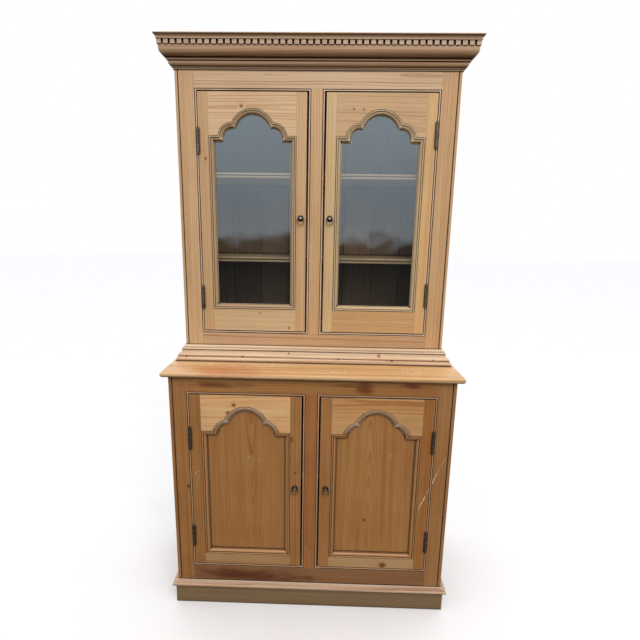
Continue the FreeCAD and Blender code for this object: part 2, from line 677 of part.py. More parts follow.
doc.recompute()
faults = [item.Label for item in doc.Objects if "Invalid" in item.State or "Error" in item.State]
assert not faults, faults
assert len({item.Label for item in nodes}) == len(nodes) <= 60
for item in nodes:
    shape = item.Shape
    assert not shape.isNull() and shape.isValid() and shape.Solids, item.Label
    shape.exportStep(f"parts/{item.Label}.step")
    box3 = shape.BoundBox
    print(f"{item.Label:30s} {len(shape.Solids):3d} {shape.Volume / 1000:9.1f} cm3 "
          f"{box3.XMin:8.1f} {box3.XMax:8.1f} {box3.YMin:8.1f} {box3.YMax:8.1f} {box3.ZMin:8.1f} {box3.ZMax:8.1f}")
print(len(nodes), "nodes written")
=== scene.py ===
import json
import math
import random
from types import SimpleNamespace

import bmesh
import bpy
from mathutils import Euler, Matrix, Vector


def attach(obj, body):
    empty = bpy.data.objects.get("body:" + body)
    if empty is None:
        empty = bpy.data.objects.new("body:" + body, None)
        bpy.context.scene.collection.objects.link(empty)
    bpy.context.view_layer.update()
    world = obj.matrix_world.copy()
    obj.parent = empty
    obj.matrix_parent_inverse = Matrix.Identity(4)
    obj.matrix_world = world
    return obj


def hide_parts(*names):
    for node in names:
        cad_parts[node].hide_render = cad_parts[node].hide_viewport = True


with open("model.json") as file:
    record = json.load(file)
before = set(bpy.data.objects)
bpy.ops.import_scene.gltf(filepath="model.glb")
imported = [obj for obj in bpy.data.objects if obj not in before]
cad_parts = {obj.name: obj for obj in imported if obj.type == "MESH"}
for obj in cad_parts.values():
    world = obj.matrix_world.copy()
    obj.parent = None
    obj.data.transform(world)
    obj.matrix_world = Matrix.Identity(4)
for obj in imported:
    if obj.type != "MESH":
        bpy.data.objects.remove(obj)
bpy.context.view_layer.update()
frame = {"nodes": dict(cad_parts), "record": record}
nodes = frame["nodes"]
bodyOf = {node: body for body, held in frame["record"]["behaviour"]["bodies"].items() for node in held}
luck = random.Random(1887)
print("frame loaded:", len(nodes), "nodes")


# shader helpers: each adds nodes to a tree and gives back the output socket

def addNode(tree, kind, feeds=None, **settings):
    node = tree.nodes.new("ShaderNode" + kind)
    for name, value in settings.items():
        setattr(node, name, value)
    for name, value in (feeds or {}).items():
        if isinstance(value, bpy.types.NodeSocket):
            tree.links.new(value, node.inputs[name])
        else:
            node.inputs[name].default_value = value
    return node


def calc(tree, operation, *terms):
    return addNode(tree, "Math", dict(enumerate(terms)), operation=operation).outputs[0]


def times(tree, first, second):
    return calc(tree, "MULTIPLY", first, second)


def addScaled(tree, base, value, factor):
    return calc(tree, "MULTIPLY_ADD", value, factor, base)


def calcVector(tree, operation, *terms):
    node = addNode(tree, "VectorMath", dict(enumerate(terms)), operation=operation)
    return node.outputs["Value" if operation == "LENGTH" else "Vector"]


def stretched(tree, where, across, depth, along):
    return calcVector(tree, "MULTIPLY", where, (across, depth, along))


def axis(tree, vector, name):
    return addNode(tree, "SeparateXYZ", {0: vector}).outputs[name]


def attribute(tree, name, output):
    return addNode(tree, "Attribute", attribute_name=name).outputs[output]


# a smooth step from low at start to high at end; start may be the larger one
def between(tree, value, start, end, low=0.0, high=1.0):
    feeds = {"Value": value, "From Min": start, "From Max": end, "To Min": low, "To Max": high}
    return addNode(tree, "MapRange", feeds, interpolation_type="SMOOTHSTEP").outputs["Result"]


# a noise spread from minus the reach to plus the reach
def centred(tree, value, reach):
    return between(tree, value, 0.3, 0.7, -reach, reach)


def noise(tree, where, scale, detail=2.0, rough=0.5):
    feeds = {"Vector": where, "Scale": scale, "Detail": detail, "Roughness": rough}
    return addNode(tree, "TexNoise", feeds).outputs["Fac"]


def stretchedNoise(tree, where, scale, detail, rough):
    return noise(tree, stretched(tree, where, *scale), 1, detail, rough)


def occlusion(tree, reach, **settings):
    return addNode(tree, "AmbientOcclusion", {"Distance": reach}, samples=6, **settings).outputs["AO"]


# a tone may be a socket or three numbers
def mixColour(tree, share, under, over, mode="MIX"):
    over = over if isinstance(over, bpy.types.NodeSocket) else (*over, 1)
    return addNode(tree, "Mix", {0: share, 6: under, 7: over}, data_type="RGBA", blend_type=mode).outputs[2]


# towards the base multiplied by the tone; the base is the colour itself unless given
def shaded(tree, share, colour, tone, base=None):
    deep = mixColour(tree, 1.0, colour if base is None else base, tone, "MULTIPLY")
    return mixColour(tree, share, colour, deep)


# distance to the closest spot, counted in that spot's own half sizes
def nearest(tree, where, spots):
    best = 99.0
    for centre, size in spots:
        offset = calcVector(tree, "SUBTRACT", where, centre)
        away = calcVector(tree, "LENGTH", calcVector(tree, "MULTIPLY", offset, [1 / s for s in size]))
        best = away if best == 99.0 else calc(tree, "MINIMUM", best, away)
    return best


def newMaterial(name):
    material = bpy.data.materials.new(name)
    material.use_nodes = True
    return material, material.node_tree, material.node_tree.nodes["Principled BSDF"]


# a spot on the front of a board: across, up, half width, half height
def frontSpots(*spots):
    return [((x, 0, z), (wide, 9, tall)) for x, z, wide, tall in spots]


# what a finish may change; lengths in metres
anyPine = {
    "ringGap": 0.0062,           # between growth rings
    "late": (0.62, 0.46, 0.34),  # what the dark line of a ring does to the board's colour
    "lateShare": 0.80,
    "streak": 0.45,
    "pale": 0.0,                 # bleached streaks
    "wander": 0.013,             # how far the rings stray from straight
    "knots": [],
    "strayKnots": 0.0,           # share of the knot cells that hold a knot
    "stains": [],
    "stain": (0.50, 0.34, 0.30),
    "stainShare": 0.75,
    "bands": [],                 # painted shadow under an overhang
    "flecks": [],                # paint specks, in patches
    "fleckColour": (0.86, 0.78, 0.66),
    "nails": [],
    "scratches": [],             # start, end and half width
    # dirt and painted shade in the corners
    "grime": (0.30, 0.22, 0.17),
    "grimeReach": 0.010,
    "grimeShare": 0.75,
    "soot": 0.92,                # painted shade: how black the deep gaps are painted
    "quirkReach": 0.0060,        # painted shade: the thin dark line beside a bead
    "quirkShare": 0.88,
    # the paler arrises: partly wear, partly painted highlight
    "edgeReach": 0.0022,
    "edgeTone": (0.80, 0.63, 0.46),
    "edgeShare": 0.28,
    "edgeZone": [],              # where the edges are rubbed and carry a painted highlight, or everywhere
    "glassAt": None,             # depth of the rebate face that a pane lies on
    "blotch": 0.20,
    "rough": (0.40, 0.58),
    "dents": 0.10,
}

# scale across, into and along the board, then detail and roughness
grainNoises = {
    "sway": ((5, 5, 1.1), 3, 0.45),
    "ripple": ((26, 26, 5), 2, 0.5),
    "fibre": ((900, 900, 16), 3, 0.6),
    "streak": ((62, 62, 1.5), 3, 0.55),
    "broad": ((13, 13, 1.0), 2, 0.5),
    "soak": ((40, 40, 9), 3, 0.6),
    "sheen": ((30, 30, 4), 3, 0.5),
}


def grainNoise(wood, kind):
    return stretchedNoise(wood.tree, wood.grain, *grainNoises[kind])


# the coordinates and the noises that several layers share
def startWood(name, look):
    material, tree, shader = newMaterial(name)
    wood = SimpleNamespace(material=material, tree=tree, shader=shader, look=look)
    wood.here = addNode(tree, "TexCoord").outputs["Object"]
    wood.grain = attribute(tree, "grainAt", "Vector")
    wood.board = attribute(tree, "boardColour", "Color")
    wood.lean = axis(tree, attribute(tree, "boardLuck", "Vector"), "Z")
    wood.wobble = noise(tree, wood.here, 70)
    wood.patch = noise(tree, wood.here, 4.3, 3, 0.55)
    wood.fibre = grainNoise(wood, "fibre")
    wood.soak = grainNoise(wood, "soak")
    return wood


# spans are distances from the knot's middle in knot sizes
knotShape = {
    "cells": (5.5, 0.3, 3.9),    # how closely the stray knots lie
    "straySize": (0.028, 0.075),
    "absent": 50.0,
    "ragged": 0.16,
    "bend": (4.2, 0.6),
    "core": (1.12, 0.78),
    "barkOut": (1.5, 1.05),
    "barkIn": (0.6, 1.0),
    "halo": (2.6, 0.9),
    "haloShare": 0.55,
    "haloTone": (0.86, 0.64, 0.48),
    "coreShare": 0.92,
    "coreRings": 26.0,
    "coreDark": (0.26, 0.12, 0.08, 1),
    "coreLight": (0.42, 0.22, 0.14),
    "barkShare": 0.7,
    "barkTone": (0.30, 0.17, 0.12),
}


# placed knots and stray ones, as one distance in knot sizes
def placeKnots(wood):
    tree, look = wood.tree, wood.look
    knot = nearest(tree, wood.here, look["knots"])
    if look["strayKnots"]:
        feeds = {"Vector": stretched(tree, wood.grain, *knotShape["cells"]), "Scale": 1.0}
        cells = addNode(tree, "TexVoronoi", feeds)
        cellLuck = addNode(tree, "SeparateColor", {0: cells.outputs["Color"]})
        size = between(tree, cellLuck.outputs["Green"], 0, 1, *knotShape["straySize"])
        empty = calc(tree, "GREATER_THAN", cellLuck.outputs["Red"], look["strayKnots"])
        stray = calc(tree, "DIVIDE", cells.outputs["Distance"], size)
        stray = calc(tree, "ADD", stray, times(tree, empty, knotShape["absent"]))
        knot = calc(tree, "MINIMUM", knot, stray)
    wood.knot = calc(tree, "ADD", knot, centred(tree, wood.wobble, knotShape["ragged"]))
    barkOut = between(tree, wood.knot, *knotShape["barkOut"])
    wood.bark = times(tree, barkOut, between(tree, wood.knot, *knotShape["barkIn"]))


ringShape = {
    "rippleShare": 0.26,         # of the wander
    "knotPush": 0.012,           # how far the rings give way to a knot
    "paceScale": 32.0,           # wide and narrow years
    "paceShare": 3.2,
    "darken": (0.42, 0.90),      # the late wood of a ring, as shares of its width
    "stop": (1.0, 0.94),
    "faintest": 0.25,
}


# growth rings round a pith that lies behind or beside the board
def growRings(wood):
    tree, wander = wood.tree, wood.look["wander"]
    fromPith = calcVector(tree, "LENGTH", stretched(tree, wood.grain, 1, 1, 0))
    reach = addScaled(tree, fromPith, axis(tree, wood.grain, "Z"), wood.lean)
    reach = addScaled(tree, reach, grainNoise(wood, "sway"), wander)
    reach = addScaled(tree, reach, grainNoise(wood, "ripple"), wander * ringShape["rippleShare"])
    reach = addScaled(tree, reach, between(tree, wood.knot, *knotShape["bend"]), ringShape["knotPush"])
    feeds = {"W": reach, "Scale": ringShape["paceScale"], "Detail": 2.0}
    pace = addNode(tree, "TexNoise", feeds, noise_dimensions="1D").outputs["Fac"]
    rings = addScaled(tree, times(tree, pace, ringShape["paceShare"]), reach, 1 / wood.look["ringGap"])
    feeds = {"W": calc(tree, "FLOOR", rings)}
    ringLuck = addNode(tree, "TexWhiteNoise", feeds, noise_dimensions="1D").outputs["Value"]
    turn = calc(tree, "FRACT", rings)
    late = times(tree, between(tree, turn, *ringShape["darken"]), between(tree, turn, *ringShape["stop"]))
    wood.late = times(tree, late, between(tree, ringLuck, 0, 1, ringShape["faintest"], 1.0))


toneShape = {
    "fibre": (0.36, 0.70), "fibreShare": 0.30, "fibreTone": (0.74, 0.64, 0.54),
    "streak": (0.42, 0.68), "streakTone": (0.82, 0.71, 0.60),
    "pale": (0.52, 0.34), "paleTone": (0.86, 0.66, 0.44),
    "broad": (0.35, 0.70), "broadTone": (1.0, 0.80, 0.62),
    "patch": (0.62, 0.30), "patchTone": (0.74, 0.66, 0.58),
}


# ring colour, fibres, streaks, broad patches
def paintGrain(wood):
    tree, look, shape = wood.tree, wood.look, toneShape
    streak = grainNoise(wood, "streak")
    colour = shaded(tree, times(tree, wood.late, look["lateShare"]), wood.board, look["late"])
    share = between(tree, wood.fibre, *shape["fibre"], 0.0, shape["fibreShare"])
    colour = shaded(tree, share, colour, shape["fibreTone"])
    share = between(tree, streak, *shape["streak"], 0.0, look["streak"])
    colour = shaded(tree, share, colour, shape["streakTone"])
    if look["pale"]:
        share = between(tree, streak, *shape["pale"], 0.0, look["pale"])
        colour = mixColour(tree, share, colour, shape["paleTone"])
    share = between(tree, grainNoise(wood, "broad"), *shape["broad"], 0.0, look["blotch"])
    colour = shaded(tree, share, colour, shape["broadTone"])
    share = between(tree, wood.patch, *shape["patch"], 0.0, look["blotch"])
    wood.colour = shaded(tree, share, colour, shape["patchTone"])


# a reddish halo, a brown heart with its own fine rings, a dark bark line
def paintKnots(wood):
    tree, shape = wood.tree, knotShape
    heart = calc(tree, "SINE", times(tree, wood.knot, shape["coreRings"]))
    coreTone = mixColour(tree, between(tree, heart, -1, 1), shape["coreDark"], shape["coreLight"])
    share = between(tree, wood.knot, *shape["halo"], 0.0, shape["haloShare"])
    colour = shaded(tree, share, wood.colour, shape["haloTone"])
    share = times(tree, between(tree, wood.knot, *shape["core"]), shape["coreShare"])
    colour = shaded(tree, share, colour, coreTone, wood.board)
    share = times(tree, wood.bark, shape["barkShare"])
    wood.colour = shaded(tree, share, colour, shape["barkTone"], wood.board)


stainShape = {
    "soakShare": 1.2,            # how the broken edge follows the grain
    "cloud": ((20, 20, 60), 4, 0.6),
    "cloudShare": 1.4,
    "fade": (2.55, 1.45),
    # a painted shadow band under an overhang
    "bandFade": (1.0, 0.35),
    "bandShare": 0.85,
    "bandTone": (0.24, 0.19, 0.16),
}

fleckShape = {
    "soakShare": 0.9,
    "fade": (1.7, 0.6),
    "speck": ((70, 150, 150), 4, 0.7),
    "gather": 0.10,              # more of them towards the middle of a patch
    "edge": (0.66, 0.72),
    "share": 0.85,
}


def paintStains(wood):
    tree, look = wood.tree, wood.look
    if look["stains"]:
        far = addScaled(tree, nearest(tree, wood.here, look["stains"]), wood.soak, stainShape["soakShare"])
        cloud = stretchedNoise(tree, wood.here, *stainShape["cloud"])
        far = addScaled(tree, far, cloud, stainShape["cloudShare"])
        share = between(tree, far, *stainShape["fade"], 0.0, look["stainShare"])
        wood.colour = shaded(tree, share, wood.colour, look["stain"])
    # painted shadow: a dark band under an overhang
    if look["bands"]:
        away = nearest(tree, wood.here, look["bands"])
        share = between(tree, away, *stainShape["bandFade"], 0.0, stainShape["bandShare"])
        wood.colour = shaded(tree, share, wood.colour, stainShape["bandTone"])
    if look["flecks"]:
        far = addScaled(tree, nearest(tree, wood.here, look["flecks"]), wood.soak, fleckShape["soakShare"])
        zone = between(tree, far, *fleckShape["fade"])
        speck = stretchedNoise(tree, wood.here, *fleckShape["speck"])
        speck = calc(tree, "ADD", speck, times(tree, zone, fleckShape["gather"]))
        fleck = times(tree, between(tree, speck, *fleckShape["edge"]), zone)
        share = times(tree, fleck, fleckShape["share"])
        wood.colour = mixColour(tree, share, wood.colour, look["fleckColour"])


markShape = {
    "nailRagged": 0.1, "nailEdge": (1.15, 0.75), "nailShare": 0.85, "nailTone": (0.022, 0.014, 0.010),
    "bendScale": 9, "bend": 0.006, "breakScale": 55, "broken": (0.38, 0.56),
    "scratchEdge": (1.0, 0.7), "scratchShare": 0.85, "scratchTone": (0.80, 0.66, 0.52),
    "pitScale": 26.0, "pitEdge": (0.058, 0.036), "pitShare": 0.8, "pitTone": (0.20, 0.13, 0.10),
}


# the line is turned onto the x axis, then squashed to a thin ellipse
def scratchShare(wood, start, end, width):
    tree, shape = wood.tree, markShape
    middle = [(a + b) / 2 for a, b in zip(start, end)]
    length = math.dist(start, end) / 2
    tilt = math.atan2(end[1] - start[1], end[0] - start[0])
    offset = calcVector(tree, "SUBTRACT", wood.here, (middle[0], 0, middle[1]))
    turned = addNode(tree, "Mapping", {"Vector": offset, "Rotation": (0, tilt, 0)}, vector_type="POINT")
    bent = calc(tree, "SUBTRACT", noise(tree, wood.here, shape["bendScale"], 1), 0.5)
    bent = addNode(tree, "CombineXYZ", {"Z": times(tree, bent, shape["bend"])}).outputs[0]
    line = calcVector(tree, "ADD", turned.outputs["Vector"], bent)
    away = calcVector(tree, "LENGTH", calcVector(tree, "MULTIPLY", line, (1 / length, 0, 1 / width)))
    broken = between(tree, noise(tree, wood.here, shape["breakScale"]), *shape["broken"])
    return times(tree, between(tree, away, *shape["scratchEdge"]), broken)


# nail holes, scratches, small dents and worm holes
def paintMarks(wood):
    tree, look, shape = wood.tree, wood.look, markShape
    wood.nail = None
    if look["nails"]:
        ragged = centred(tree, wood.wobble, shape["nailRagged"])
        away = calc(tree, "ADD", nearest(tree, wood.here, look["nails"]), ragged)
        wood.nail = between(tree, away, *shape["nailEdge"])
        share = times(tree, wood.nail, shape["nailShare"])
        wood.colour = mixColour(tree, share, wood.colour, shape["nailTone"])
    for start, end, width in look["scratches"]:
        share = times(tree, scratchShare(wood, start, end, width), shape["scratchShare"])
        wood.colour = mixColour(tree, share, wood.colour, shape["scratchTone"])
    pits = addNode(tree, "TexVoronoi", {"Vector": wood.here, "Scale": shape["pitScale"]})
    pitLuck = addNode(tree, "SeparateColor", {0: pits.outputs["Color"]}).outputs["Red"]
    chosen = calc(tree, "LESS_THAN", pitLuck, look["dents"])
    wood.pit = times(tree, between(tree, pits.outputs["Distance"], *shape["pitEdge"]), chosen)
    share = times(tree, wood.pit, shape["pitShare"])
    wood.colour = shaded(tree, share, wood.colour, shape["pitTone"], wood.board)


# spans for the dirt and painted shade in corners, the painted black of the gaps, the painted shade of quirks
# and the paler arrises
wearShape = {
    "dirt": (0.90, 0.38),
    "dirtPatch": (0.15, 0.6, 0.7, 1.0),
    "soot": (0.42, 0.16),
    "sootTone": (0.012, 0.008, 0.006),
    "quirk": (0.96, 0.70),
    "quirkTone": (0.075, 0.036, 0.022),
    "rim": (0.90, 0.60),
    "rimSoak": (0.30, 0.60, 0.6, 1.0),
    "zoneFade": (1.15, 0.90),
    "bedding": 0.0008,           # how close to the pane's plane counts as behind it
    "facing": 0.5,
}


# the wood right behind a pane: the pane hides nothing, so that wood keeps its colour, without the painted
# shade of corners and quirks
def behindPane(wood):
    tree = wood.tree
    facing = axis(tree, addNode(tree, "TexCoord").outputs["Normal"], "Y")
    level = calc(tree, "SUBTRACT", axis(tree, wood.here, "Y"), wood.look["glassAt"])
    near = calc(tree, "LESS_THAN", calc(tree, "ABSOLUTE", level), wearShape["bedding"])
    return times(tree, near, calc(tree, "GREATER_THAN", facing, wearShape["facing"]))


# wax and dirt with painted shade in the corners, painted black shade in the gaps, painted shade along the
# quirks, arrises paler from wear and a painted highlight
def paintWear(wood):
    tree, look, shape = wood.tree, wood.look, wearShape
    corner = occlusion(tree, look["grimeReach"])
    quirk = occlusion(tree, look["quirkReach"])
    if look["glassAt"] is not None:
        bare = behindPane(wood)
        corner = calc(tree, "MAXIMUM", corner, bare)
        quirk = calc(tree, "MAXIMUM", quirk, bare)
    spread = between(tree, wood.patch, *shape["dirtPatch"])
    # dirt and painted shade gathered in the corners
    wood.dirt = times(tree, between(tree, corner, *shape["dirt"]), spread)
    colour = shaded(tree, times(tree, wood.dirt, look["grimeShare"]), wood.colour, look["grime"])
    # painted shade: the deep gaps painted near black
    share = between(tree, corner, *shape["soot"], 0.0, look["soot"])
    colour = mixColour(tree, share, colour, shape["sootTone"])
    # painted shade: a dark line along the quirks and creases
    wood.quirk = between(tree, quirk, *shape["quirk"], 0.0, look["quirkShare"])
    colour = shaded(tree, wood.quirk, colour, shape["quirkTone"], wood.board)
    # arrises paler from wear and a painted highlight
    rim = occlusion(tree, look["edgeReach"], inside=True, only_local=True)
    rubbed = times(tree, between(tree, rim, *shape["rim"]), between(tree, wood.soak, *shape["rimSoak"]))
    rubbed = times(tree, rubbed, calc(tree, "SUBTRACT", 1.0, wood.quirk))
    if look["edgeZone"]:
        zone = between(tree, nearest(tree, wood.here, look["edgeZone"]), *shape["zoneFade"])
        rubbed = times(tree, rubbed, zone)
    wood.colour = mixColour(tree, times(tree, rubbed, look["edgeShare"]), colour, look["edgeTone"])


# what each layer adds to the roughness and to the height
surfaceShape = {
    "sheenSpan": (0.3, 0.7),
    "lateRough": -0.06, "dirtRough": 0.22, "quirkRough": 0.40,
    "ior": 1.42,
    "lateHeight": 0.30, "fibreHeight": 0.35, "pitHeight": -1.6,
    "barkHeight": -0.7, "patchHeight": 1.2, "nailHeight": -2.5,
    "bump": 0.45, "bumpDepth": 0.0006,
}


# the sheen of old wax is smoother on the dark rings and dull where dirty
def finishWood(wood):
    tree, shader, shape = wood.tree, wood.shader, surfaceShape
    tree.links.new(wood.colour, shader.inputs["Base Color"])
    sheen = between(tree, grainNoise(wood, "sheen"), *shape["sheenSpan"], *wood.look["rough"])
    sheen = addScaled(tree, sheen, wood.late, shape["lateRough"])
    sheen = addScaled(tree, sheen, wood.dirt, shape["dirtRough"])
    sheen = addScaled(tree, sheen, wood.quirk, shape["quirkRough"])
    tree.links.new(sheen, shader.inputs["Roughness"])
    shader.inputs["IOR"].default_value = shape["ior"]
    height = times(tree, wood.fibre, shape["fibreHeight"])
    height = addScaled(tree, height, wood.late, shape["lateHeight"])
    height = addScaled(tree, height, wood.pit, shape["pitHeight"])
    height = addScaled(tree, height, wood.bark, shape["barkHeight"])
    height = addScaled(tree, height, wood.patch, shape["patchHeight"])
    if wood.nail is not None:
        height = addScaled(tree, height, wood.nail, shape["nailHeight"])
    feeds = {"Strength": shape["bump"], "Distance": shape["bumpDepth"], "Height": height}
    tree.links.new(addNode(tree, "Bump", feeds).outputs["Normal"], shader.inputs["Normal"])


def pine(name, **changes):
    wood = startWood(name, {**anyPine, **changes})
    placeKnots(wood)
    growRings(wood)
    for layer in (paintGrain, paintKnots, paintStains, paintMarks, paintWear, finishWood):
        layer(wood)
    return wood.material


# lengths in metres, flat and sharp in radians, smooth in degrees
meshRules = {"weld": 0.00001, "flat": 0.004, "sharp": 0.5, "rim": 0.0001, "smooth": 50, "segments": 2}


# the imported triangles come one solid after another; a solid ends where every edge has met its other half
def solidsIn(mesh):
    spots, waiting, solids, current = {}, set(), [], []
    for face in mesh.polygons:
        corners = [tuple(round(c, 5) for c in mesh.vertices[i].co) for i in face.vertices]
        ring = [spots.setdefault(corner, len(spots)) for corner in corners]
        for start, end in zip(ring, ring[1:] + ring[:1]):
            if (end, start) in waiting:
                waiting.remove((end, start))
            elif start != end:
                waiting.add((start, end))
        current.append(face.index)
        if not waiting:
            solids.append(set(current))
            current = []
    return solids


def extent(verts):
    low = Vector([min(v.co[side] for v in verts) for side in range(3)])
    high = Vector([max(v.co[side] for v in verts) for side in range(3)])
    return low, high


def weld(shape):
    bmesh.ops.remove_doubles(shape, verts=shape.verts, dist=meshRules["weld"])


def joinFlats(shape):
    bmesh.ops.dissolve_limit(shape, angle_limit=meshRules["flat"], verts=shape.verts, edges=shape.edges)


def roundEdges(shape, offset, sharp):
    edges = [e for e in shape.edges if len(e.link_faces) == 2 and e.is_convex and e.calc_face_angle() > sharp]
    bmesh.ops.bevel(shape, geom=edges, offset=offset, offset_type="OFFSET", segments=meshRules["segments"],
                    profile=0.5, affect="EDGES", material=-1, clamp_overlap=True)


def meshFrom(shape, name):
    mesh = bpy.data.meshes.new(name)
    shape.to_mesh(mesh)
    shape.free()
    return mesh


def addPiece(name, mesh, node, finish):
    piece = bpy.data.objects.new(name, mesh)
    bpy.context.scene.collection.objects.link(piece)
    mesh.materials.clear()
    mesh.materials.append(finish)
    even = piece.modifiers.new("evenShading", "WEIGHTED_NORMAL")
    even.keep_sharp = True
    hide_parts(node)
    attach(piece, bodyOf[node])
    return piece


anyBoard = {
    "edge": 0.0005,              # rounding of the arrises
    "grain": None,               # the axis along the grain, or the longest one
    "pith": None,                # across and depth of each pith from the board's middle, or by chance
    "lean": None,                # how fast each board's length crosses the rings, or by chance
    "close": 0.0,                # how far a board grows sideways to meet its neighbour
}

# where the pith of a board may lie: beside a narrow one, behind a wide one
boardLuck = {
    "narrow": 0.14,
    "beside": (0.06, 0.16), "offFace": 0.06,
    "withinWidth": 0.4, "behind": (0.03, 0.12),
    "start": 40,
    "lean": (0.002, 0.014),
}


def eitherWay(span):
    return luck.choice((-1, 1)) * luck.uniform(*span)


# chance pith, place along the tree, lean and tint of a board; the pine reads only the first three
def drawBoard(width):
    if width < boardLuck["narrow"]:
        pith = (eitherWay(boardLuck["beside"]), luck.uniform(-boardLuck["offFace"], boardLuck["offFace"]))
    else:
        within = boardLuck["withinWidth"]
        pith = (luck.uniform(-within, within) * width, eitherWay(boardLuck["behind"]))
    start = luck.uniform(-boardLuck["start"], boardLuck["start"])
    return pith, start, eitherWay(boardLuck["lean"]), luck.random()


def cutOut(source, faces):
    board = bmesh.new()
    board.from_mesh(source)
    bmesh.ops.delete(board, geom=[f for f in board.faces if f.index not in faces], context="FACES")
    weld(board)
    joinFlats(board)
    return board


# splits a node into its boards, rounds each one and notes how its grain runs
def softBoards(node, finish, colours, **changes):
    shape = {**anyBoard, **changes}
    source = nodes[node].data
    whole = bmesh.new()
    grainAt, luckAt, colourAt = [], [], []
    for number, faces in enumerate(solidsIn(source)):
        board = cutOut(source, faces)
        low, high = extent(board.verts)
        order = sorted(range(3), key=lambda side: high[side] - low[side])
        if shape["grain"] is not None:
            order = [side for side in order if side != shape["grain"]] + [shape["grain"]]
        depth, across, along = order
        middle = (low + high) / 2
        if shape["close"]:
            for v in board.verts:
                if min(v.co[across] - low[across], high[across] - v.co[across]) < meshRules["rim"]:
                    v.co[across] += math.copysign(shape["close"], v.co[across] - middle[across])
        roundEdges(board, shape["edge"], meshRules["sharp"])

        pith, start, lean, tint = drawBoard(high[across] - low[across])
        pith = shape["pith"][number] if shape["pith"] else pith
        lean = shape["lean"][number] if shape["lean"] else lean
        for v in board.verts:
            fromPith = (v.co[across] - middle[across] - pith[0], v.co[depth] - middle[depth] - pith[1])
            grainAt += [*fromPith, v.co[along] + start]
            luckAt += [tint, number, lean]
            colourAt += [*colours[number % len(colours)], 1.0]
        part = meshFrom(board, "part")
        whole.from_mesh(part)
        bpy.data.meshes.remove(part)
    mesh = meshFrom(whole, node + "_soft")
    mesh.attributes.new("grainAt", "FLOAT_VECTOR", "POINT").data.foreach_set("vector", grainAt)
    mesh.attributes.new("boardLuck", "FLOAT_VECTOR", "POINT").data.foreach_set("vector", luckAt)
    mesh.attributes.new("boardColour", "FLOAT_COLOR", "POINT").data.foreach_set("color", colourAt)
    mesh.shade_smooth()
    mesh.set_sharp_from_angle(angle=math.radians(meshRules["smooth"]))
    return addPiece(node + "_soft", mesh, node, finish)


# what stands on the front is placed in the cabinet's own metres
upperFinish = pine(
    "upperPineWaxed",
    knots=frontSpots(
        (-0.267, 1.902, 0.0042, 0.0036), (-0.399, 1.725, 0.0034, 0.0042), (0.130, 1.895, 0.0032, 0.0028),
        (0.165, 1.895, 0.0032, 0.0028), (-0.207, 1.165, 0.0028, 0.0024), (-0.095, 1.106, 0.0040, 0.0034)),
    # a painted shadow under the cornice
    bands=frontSpots((0, 2.0185, 0.60, 0.0075)),
    glassAt=-0.050,
)
lowerFinish = pine(
    "lowerPineWaxed",
    streak=0.60, blotch=0.48,
    fleckColour=(0.64, 0.47, 0.33),
    flecks=frontSpots((-0.430, 0.560, 0.018, 0.05), (-0.010, 0.240, 0.022, 0.06), (0.44, 0.30, 0.02, 0.05)),
    late=(0.66, 0.48, 0.34),
    knots=frontSpots(
        (-0.285, 0.846, 0.0060, 0.0054), (-0.308, 0.815, 0.0054, 0.0060), (-0.077, 0.714, 0.0050, 0.0080),
        (-0.058, 0.580, 0.0026, 0.0048), (0.210, 0.380, 0.0040, 0.0050), (0.288, 0.191, 0.0105, 0.0085),
        (-0.465, 0.511, 0.0052, 0.0062)),
    stains=frontSpots(
        (-0.340, 0.922, 0.115, 0.014), (-0.240, 0.122, 0.240, 0.040), (0.193, 0.922, 0.034, 0.028),
        (0.120, 0.930, 0.060, 0.010), (0.361, 0.932, 0.040, 0.011)),
    stain=(0.42, 0.27, 0.23), stainShare=0.9,
    # a painted shadow under the worktop
    bands=frontSpots((0, 0.9525, 0.60, 0.0100)),
    scratches=[((0.506, 0.670), (0.397, 0.395), 0.0019)],
    grimeReach=0.014,
)
panelFinish = pine(
    "panelPineWaxed", ringGap=0.0046, late=(0.66, 0.48, 0.34), lateShare=0.72, streak=0.60, blotch=0.36,
    fleckColour=(0.58, 0.41, 0.27),
    flecks=frontSpots((-0.225, 0.625, 0.05, 0.02), (0.30, 0.66, 0.03, 0.03)), grimeReach=0.014, wander=0.020,
    knots=frontSpots((-0.077, 0.714, 0.0040, 0.0060), (0.210, 0.380, 0.0040, 0.0050)))
sideFinish = pine("sidePineWaxed", strayKnots=0.42, dents=0.16)
insideFinish = pine("insidePineDull", strayKnots=0.40, rough=(0.55, 0.72), grimeReach=0.02)
backFinish = pine(
    "backPineDark", strayKnots=0.45, rough=(0.60, 0.78), late=(0.66, 0.56, 0.48), grimeReach=0.02)
corniceFinish = pine(
    "cornicePineAged",
    strayKnots=0.35, dents=0.14,
    grime=(0.30, 0.17, 0.11), grimeShare=0.92, grimeReach=0.020, quirkShare=0.94, quirkReach=0.0085,
    edgeReach=0.0030, edgeTone=(0.70, 0.50, 0.35), edgeShare=0.60,
)
waistFinish = pine(
    "waistPineWorn",
    nails=frontSpots(
        (-0.492, 0.991, 0.0040, 0.0030), (-0.272, 0.994, 0.0044, 0.0032),
        (-0.173, 0.976, 0.0036, 0.0028), (-0.094, 1.007, 0.0036, 0.0028),
        (0.098, 0.993, 0.0040, 0.0028), (0.305, 0.990, 0.0044, 0.0030), (0.462, 0.996, 0.0036, 0.0028)),
    knots=frontSpots((0.255, 1.006, 0.0050, 0.0038)),
    grime=(0.28, 0.17, 0.13), grimeReach=0.012, quirkShare=0.97, quirkReach=0.0090, streak=0.6, pale=0.25,
    edgeReach=0.003, edgeTone=(0.86, 0.70, 0.56), edgeShare=0.70,
)
